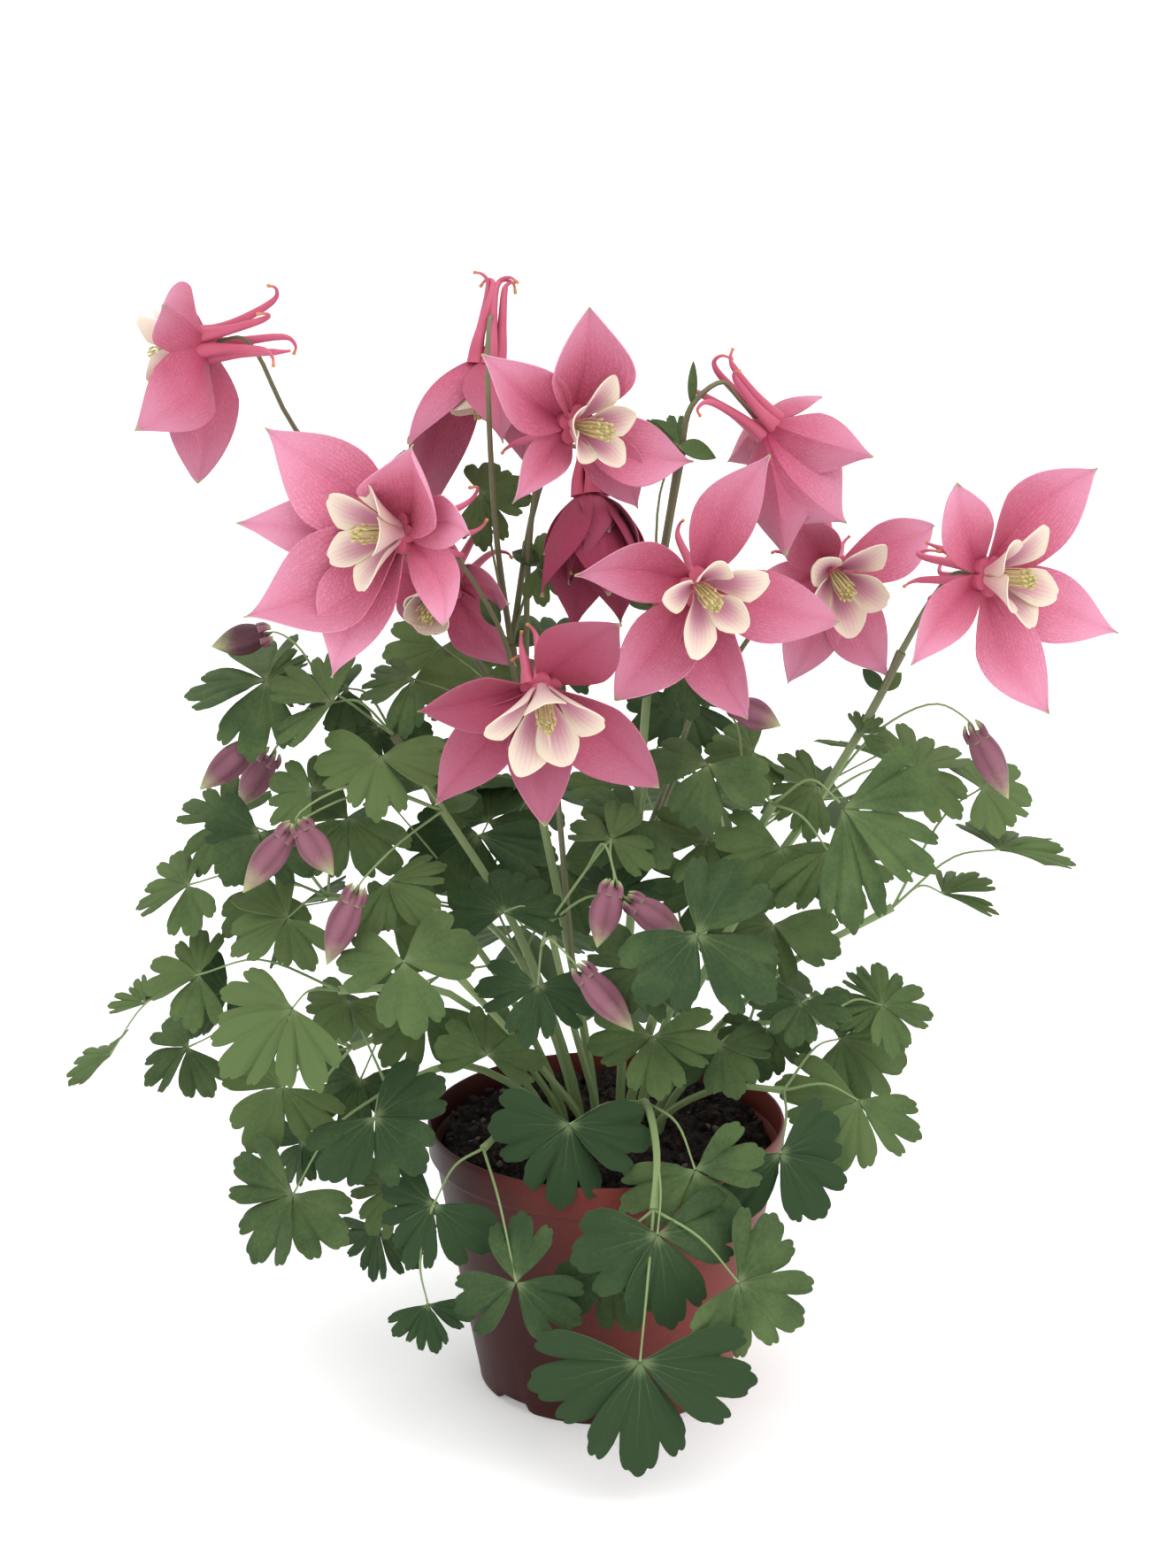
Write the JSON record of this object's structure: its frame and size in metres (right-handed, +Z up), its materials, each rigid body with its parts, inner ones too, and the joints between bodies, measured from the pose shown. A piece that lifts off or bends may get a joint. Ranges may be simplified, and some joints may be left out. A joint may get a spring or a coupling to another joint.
{
  "type": "columbine plant",
  "caption": "Potted columbine in flower: forked leafy stems, rose-red spurred blooms with cream cups, drooping buds, dark soil and a tapered plastic pot.",
  "frame": {"origin": "on the floor under the middle of the pot's base, where the pot stands", "axes": "+Z up, -Y towards the side the plant is mainly seen from, +X to that viewer's right"},
  "size_m": [0.3068, 0.2093, 0.3379],
  "materials": {
    "pot": "thin injection-moulded plastic, satin, red-brown",
    "soil": "moist peat-based potting soil, dark brown, crumbly",
    "leaf": "matt bluish-green leaf with paler veins; stalks pale green, flower stems olive-brown",
    "sepal": "soft rose-red to crimson sepals and spurs with fine veins, paler pointed tips",
    "petal": "soft cream-yellow petal blades, tinged pink inside the cup",
    "stamen": "yellow filaments with olive anthers",
    "bud": "matt maroon-pink bud with a pale green tip"
  },
  "bodies": {
    "root": {"pot": "pot", "soil": "soil", "frond_centre": "leaf", "frond_centre_left": "leaf", "frond_centre_right": "leaf", "frond_front_left": "leaf", "frond_left_back": "leaf", "frond_left_high": "leaf", "frond_left_low": "leaf", "frond_left_mid": "leaf", "frond_right_back": "leaf", "frond_right_high": "leaf", "frond_right_low": "leaf", "frond_right_mid": "leaf", "fronds_back_left": "leaf", "fronds_back_right": "leaf", "fronds_front": "leaf", "stem_centre_right": "leaf", "stem_left": "leaf", "stem_right": "leaf", "stems_centre": "leaf", "bloom_10_petals": "petal", "bloom_10_sepals": "sepal", "bloom_10_stamens": "stamen", "bloom_11_petals": "petal", "bloom_11_sepals": "sepal", "bloom_1_petals": "petal", "bloom_1_sepals": "sepal", "bloom_2_petals": "petal", "bloom_2_sepals": "sepal", "bloom_2_stamens": "stamen", "bloom_3_petals": "petal", "bloom_3_sepals": "sepal", "bloom_4_petals": "petal", "bloom_4_sepals": "sepal", "bloom_4_stamens": "stamen", "bloom_5_petals": "petal", "bloom_5_sepals": "sepal", "bloom_6_petals": "petal", "bloom_6_sepals": "sepal", "bloom_6_stamens": "stamen", "bloom_7_petals": "petal", "bloom_7_sepals": "sepal", "bloom_8_petals": "petal", "bloom_8_sepals": "sepal", "bloom_8_stamens": "stamen", "bloom_9_petals": "petal", "bloom_9_sepals": "sepal", "bloom_9_stamens": "stamen", "bud_1": "bud", "bud_10": "bud", "bud_11": "bud", "bud_2": "bud", "bud_3": "bud", "bud_4": "bud", "bud_5": "bud", "bud_6": "bud", "bud_7": "bud", "bud_8": "bud", "bud_9": "bud"}
  },
  "joints": []
}
